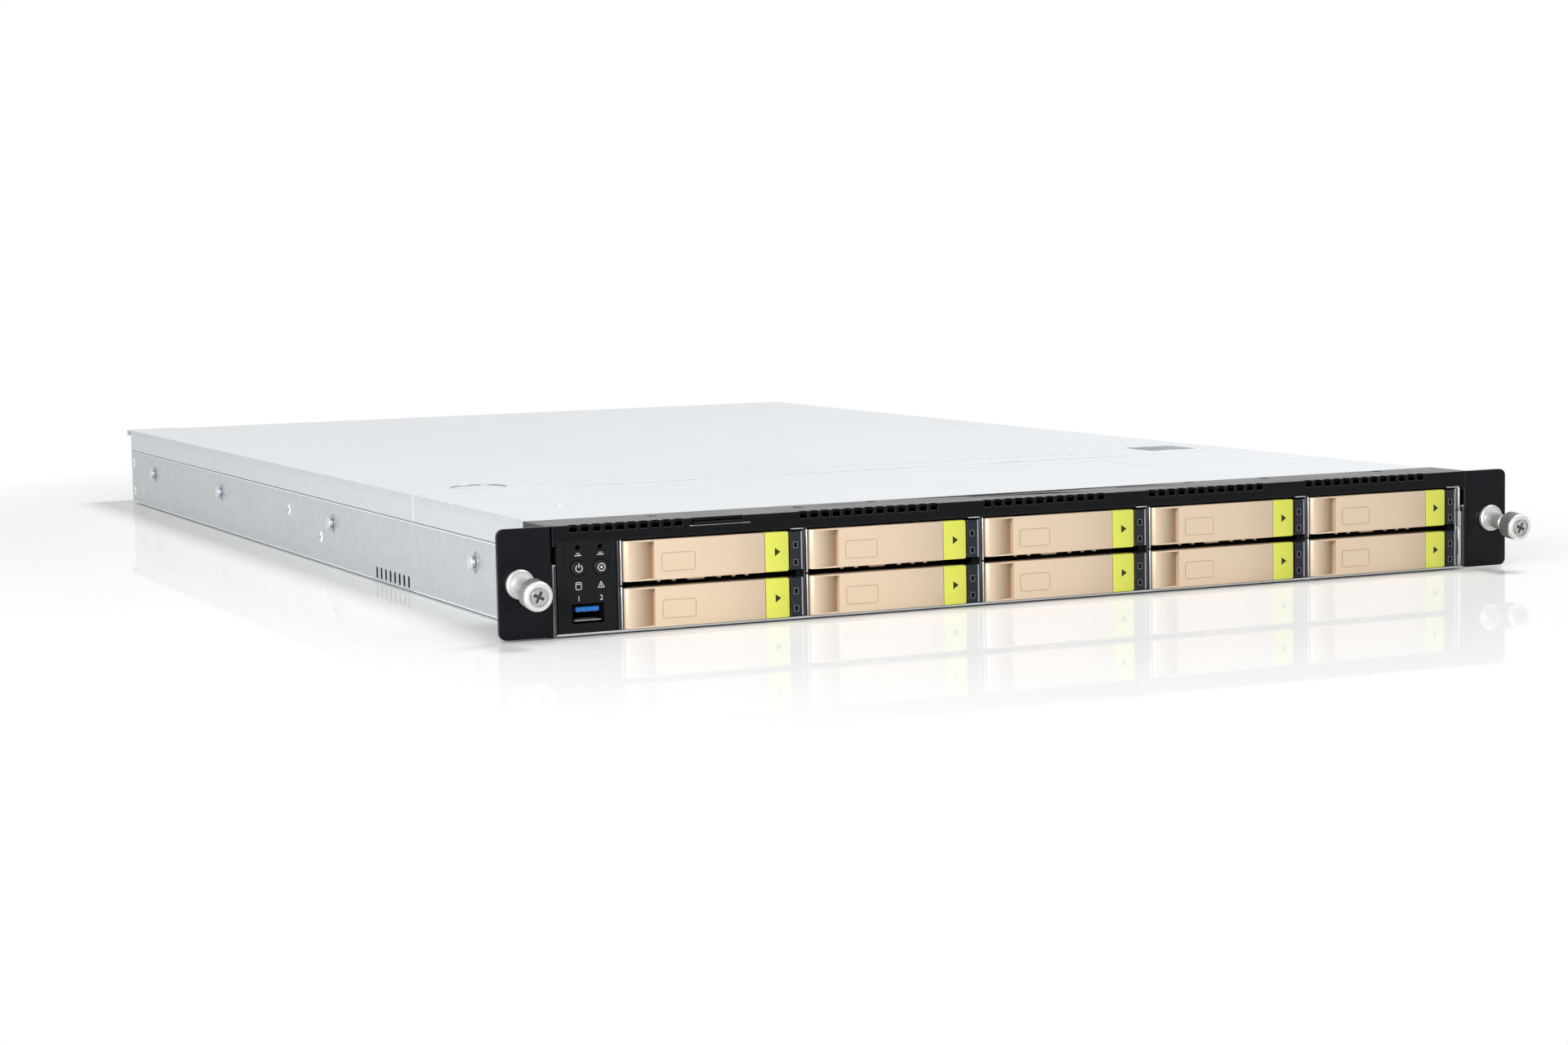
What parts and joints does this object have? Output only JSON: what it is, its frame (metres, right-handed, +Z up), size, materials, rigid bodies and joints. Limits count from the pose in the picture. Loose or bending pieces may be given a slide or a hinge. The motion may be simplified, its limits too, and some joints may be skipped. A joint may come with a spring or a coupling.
{
  "type": "1u rack server",
  "caption": "Flat rack-mount server: sliding lid, hinged-handle drive modules, thumbscrew ears, front control panel, fans and plug-in power supplies.",
  "frame": {"origin": "middle of the footprint, at the height of the tray's underside", "axes": "+X to the right seen from the front, +Y from the front to the back, +Z up"},
  "size_m": [0.4826, 0.791, 0.0436],
  "materials": {
    "galvanised_steel": "zinc-coated sheet with faint spangle",
    "lid_steel": "pale satin zinc-coated sheet",
    "black_powder_coat": "fine textured black powder coat",
    "panel_plastic": "matt black moulding",
    "button_rubber": "matt black rubber",
    "champagne": "metallic champagne moulding",
    "lime": "satin lime moulding",
    "sled_metal": "sled and drive casing",
    "nickel": "bright nickel plate",
    "circuit_board": "green solder mask",
    "fan_plastic": "black fan plastic",
    "cooler_metal": "plain aluminium fins",
    "supply_case": "zinc-coated casing",
    "tag_plastic": "thin black card"
  },
  "bodies": {
    "chassis": {"base_pan": "galvanised_steel", "front_cover": "lid_steel", "bezel_hood": "black_powder_coat", "ear_left": "black_powder_coat", "ear_right": "black_powder_coat", "rail_studs": "nickel", "control_panel": "panel_plastic", "front_io_board": "nickel", "drive_cage": "galvanised_steel", "backplane": "circuit_board", "fan_frames": "fan_plastic", "motherboard": "circuit_board", "heatsink": "cooler_metal", "rear_sockets": "cooler_metal", "rear_panel": "galvanised_steel"},
    "rear_cover": {"rear_cover": "lid_steel"},
    "cover_latch": {"cover_latch": "black_powder_coat"},
    "thumbscrew_left": {"thumbscrew_left": "nickel"},
    "thumbscrew_right": {"thumbscrew_right": "nickel"},
    "power_button": {"power_button": "button_rubber"},
    "locate_button": {"locate_button": "button_rubber"},
    "info_tag": {"info_tag": "tag_plastic"},
    "fan_rotor_1": {"fan_rotor_1": "fan_plastic"},
    "fan_rotor_2": {"fan_rotor_2": "fan_plastic"},
    "fan_rotor_3": {"fan_rotor_3": "fan_plastic"},
    "fan_rotor_4": {"fan_rotor_4": "fan_plastic"},
    "power_supply_1": {"power_supply_1": "supply_case"},
    "supply_latch_1": {"supply_latch_1": "lime"},
    "power_supply_2": {"power_supply_2": "supply_case"},
    "supply_latch_2": {"supply_latch_2": "lime"},
    "carrier_01": {"carrier_01": "sled_metal"},
    "handle_01": {"handle_01": "champagne"},
    "latch_01": {"latch_01": "lime"},
    "carrier_02": {"carrier_02": "sled_metal"},
    "handle_02": {"handle_02": "champagne"},
    "latch_02": {"latch_02": "lime"},
    "carrier_03": {"carrier_03": "sled_metal"},
    "handle_03": {"handle_03": "champagne"},
    "latch_03": {"latch_03": "lime"},
    "carrier_04": {"carrier_04": "sled_metal"},
    "handle_04": {"handle_04": "champagne"},
    "latch_04": {"latch_04": "lime"},
    "carrier_05": {"carrier_05": "sled_metal"},
    "handle_05": {"handle_05": "champagne"},
    "latch_05": {"latch_05": "lime"},
    "carrier_06": {"carrier_06": "sled_metal"},
    "handle_06": {"handle_06": "champagne"},
    "latch_06": {"latch_06": "lime"},
    "carrier_07": {"carrier_07": "sled_metal"},
    "handle_07": {"handle_07": "champagne"},
    "latch_07": {"latch_07": "lime"},
    "carrier_08": {"carrier_08": "sled_metal"},
    "handle_08": {"handle_08": "champagne"},
    "latch_08": {"latch_08": "lime"},
    "carrier_09": {"carrier_09": "sled_metal"},
    "handle_09": {"handle_09": "champagne"},
    "latch_09": {"latch_09": "lime"},
    "carrier_10": {"carrier_10": "sled_metal"},
    "handle_10": {"handle_10": "champagne"},
    "latch_10": {"latch_10": "lime"}
  },
  "joints": [
    {"name": "rear_cover_slide", "type": "slide", "parent": "chassis", "child": "rear_cover", "axis": [0, 1, 0], "range_m": [0, 0.014]},
    {"name": "cover_latch_press", "type": "slide", "parent": "rear_cover", "child": "cover_latch", "axis": [0, 0, -1], "range_m": [0, 0.0015], "stiffness_N_per_m": 500},
    {"name": "thumbscrew_left_push", "type": "slide", "parent": "chassis", "child": "thumbscrew_left", "axis": [0, 1, 0], "range_m": [0, 0.008], "stiffness_N_per_m": 400},
    {"name": "thumbscrew_right_push", "type": "slide", "parent": "chassis", "child": "thumbscrew_right", "axis": [0, 1, 0], "range_m": [0, 0.008], "stiffness_N_per_m": 400},
    {"name": "power_button_press", "type": "slide", "parent": "chassis", "child": "power_button", "axis": [0, 1, 0], "range_m": [0, 0.0008], "stiffness_N_per_m": 600},
    {"name": "locate_button_press", "type": "slide", "parent": "chassis", "child": "locate_button", "axis": [0, 1, 0], "range_m": [0, 0.0008], "stiffness_N_per_m": 600},
    {"name": "info_tag_pull", "type": "slide", "parent": "chassis", "child": "info_tag", "axis": [0, -1, 0], "range_m": [0, 0.02]},
    {"name": "fan_spin_1", "type": "hinge", "parent": "chassis", "child": "fan_rotor_1", "pos_m": [-0.144, -0.2255, 0.0208], "axis": [0, 1, 0], "continuous": true},
    {"name": "fan_spin_2", "type": "hinge", "parent": "chassis", "child": "fan_rotor_2", "pos_m": [-0.048, -0.2255, 0.0208], "axis": [0, 1, 0], "continuous": true},
    {"name": "fan_spin_3", "type": "hinge", "parent": "chassis", "child": "fan_rotor_3", "pos_m": [0.048, -0.2255, 0.0208], "axis": [0, 1, 0], "continuous": true},
    {"name": "fan_spin_4", "type": "hinge", "parent": "chassis", "child": "fan_rotor_4", "pos_m": [0.144, -0.2255, 0.0208], "axis": [0, 1, 0], "continuous": true},
    {"name": "power_supply_1_pull", "type": "slide", "parent": "chassis", "child": "power_supply_1", "axis": [0, 1, 0], "range_m": [0, 0.15]},
    {"name": "supply_latch_1_push", "type": "slide", "parent": "power_supply_1", "child": "supply_latch_1", "axis": [1, 0, 0], "range_m": [0, 0.0015], "stiffness_N_per_m": 400},
    {"name": "power_supply_2_pull", "type": "slide", "parent": "chassis", "child": "power_supply_2", "axis": [0, 1, 0], "range_m": [0, 0.15]},
    {"name": "supply_latch_2_push", "type": "slide", "parent": "power_supply_2", "child": "supply_latch_2", "axis": [1, 0, 0], "range_m": [0, 0.0015], "stiffness_N_per_m": 400},
    {"name": "carrier_01_pull", "type": "slide", "parent": "chassis", "child": "carrier_01", "axis": [0, -1, 0], "range_m": [0, 0.105]},
    {"name": "handle_01_swing", "type": "hinge", "parent": "carrier_01", "child": "handle_01", "pos_m": [-0.18654, -0.371, 0.00905], "axis": [0, 0, -1], "range_deg": [0, 60]},
    {"name": "latch_01_push", "type": "slide", "parent": "carrier_01", "child": "latch_01", "axis": [1, 0, 0], "range_m": [0, 0.001], "stiffness_N_per_m": 300},
    {"name": "carrier_02_pull", "type": "slide", "parent": "chassis", "child": "carrier_02", "axis": [0, -1, 0], "range_m": [0, 0.105]},
    {"name": "handle_02_swing", "type": "hinge", "parent": "carrier_02", "child": "handle_02", "pos_m": [-0.18654, -0.371, 0.0279], "axis": [0, 0, -1], "range_deg": [0, 60]},
    {"name": "latch_02_push", "type": "slide", "parent": "carrier_02", "child": "latch_02", "axis": [1, 0, 0], "range_m": [0, 0.001], "stiffness_N_per_m": 300},
    {"name": "carrier_03_pull", "type": "slide", "parent": "chassis", "child": "carrier_03", "axis": [0, -1, 0], "range_m": [0, 0.105]},
    {"name": "handle_03_swing", "type": "hinge", "parent": "carrier_03", "child": "handle_03", "pos_m": [-0.10541, -0.371, 0.00905], "axis": [0, 0, -1], "range_deg": [0, 60]},
    {"name": "latch_03_push", "type": "slide", "parent": "carrier_03", "child": "latch_03", "axis": [1, 0, 0], "range_m": [0, 0.001], "stiffness_N_per_m": 300},
    {"name": "carrier_04_pull", "type": "slide", "parent": "chassis", "child": "carrier_04", "axis": [0, -1, 0], "range_m": [0, 0.105]},
    {"name": "handle_04_swing", "type": "hinge", "parent": "carrier_04", "child": "handle_04", "pos_m": [-0.10541, -0.371, 0.0279], "axis": [0, 0, -1], "range_deg": [0, 60]},
    {"name": "latch_04_push", "type": "slide", "parent": "carrier_04", "child": "latch_04", "axis": [1, 0, 0], "range_m": [0, 0.001], "stiffness_N_per_m": 300},
    {"name": "carrier_05_pull", "type": "slide", "parent": "chassis", "child": "carrier_05", "axis": [0, -1, 0], "range_m": [0, 0.105]},
    {"name": "handle_05_swing", "type": "hinge", "parent": "carrier_05", "child": "handle_05", "pos_m": [-0.02428, -0.371, 0.00905], "axis": [0, 0, -1], "range_deg": [0, 60]},
    {"name": "latch_05_push", "type": "slide", "parent": "carrier_05", "child": "latch_05", "axis": [1, 0, 0], "range_m": [0, 0.001], "stiffness_N_per_m": 300},
    {"name": "carrier_06_pull", "type": "slide", "parent": "chassis", "child": "carrier_06", "axis": [0, -1, 0], "range_m": [0, 0.105]},
    {"name": "handle_06_swing", "type": "hinge", "parent": "carrier_06", "child": "handle_06", "pos_m": [-0.02428, -0.371, 0.0279], "axis": [0, 0, -1], "range_deg": [0, 60]},
    {"name": "latch_06_push", "type": "slide", "parent": "carrier_06", "child": "latch_06", "axis": [1, 0, 0], "range_m": [0, 0.001], "stiffness_N_per_m": 300},
    {"name": "carrier_07_pull", "type": "slide", "parent": "chassis", "child": "carrier_07", "axis": [0, -1, 0], "range_m": [0, 0.105]},
    {"name": "handle_07_swing", "type": "hinge", "parent": "carrier_07", "child": "handle_07", "pos_m": [0.05685, -0.371, 0.00905], "axis": [0, 0, -1], "range_deg": [0, 60]},
    {"name": "latch_07_push", "type": "slide", "parent": "carrier_07", "child": "latch_07", "axis": [1, 0, 0], "range_m": [0, 0.001], "stiffness_N_per_m": 300},
    {"name": "carrier_08_pull", "type": "slide", "parent": "chassis", "child": "carrier_08", "axis": [0, -1, 0], "range_m": [0, 0.105]},
    {"name": "handle_08_swing", "type": "hinge", "parent": "carrier_08", "child": "handle_08", "pos_m": [0.05685, -0.371, 0.0279], "axis": [0, 0, -1], "range_deg": [0, 60]},
    {"name": "latch_08_push", "type": "slide", "parent": "carrier_08", "child": "latch_08", "axis": [1, 0, 0], "range_m": [0, 0.001], "stiffness_N_per_m": 300},
    {"name": "carrier_09_pull", "type": "slide", "parent": "chassis", "child": "carrier_09", "axis": [0, -1, 0], "range_m": [0, 0.105]},
    {"name": "handle_09_swing", "type": "hinge", "parent": "carrier_09", "child": "handle_09", "pos_m": [0.13798, -0.371, 0.00905], "axis": [0, 0, -1], "range_deg": [0, 60]},
    {"name": "latch_09_push", "type": "slide", "parent": "carrier_09", "child": "latch_09", "axis": [1, 0, 0], "range_m": [0, 0.001], "stiffness_N_per_m": 300},
    {"name": "carrier_10_pull", "type": "slide", "parent": "chassis", "child": "carrier_10", "axis": [0, -1, 0], "range_m": [0, 0.105]},
    {"name": "handle_10_swing", "type": "hinge", "parent": "carrier_10", "child": "handle_10", "pos_m": [0.13798, -0.371, 0.0279], "axis": [0, 0, -1], "range_deg": [0, 60]},
    {"name": "latch_10_push", "type": "slide", "parent": "carrier_10", "child": "latch_10", "axis": [1, 0, 0], "range_m": [0, 0.001], "stiffness_N_per_m": 300}
  ]
}
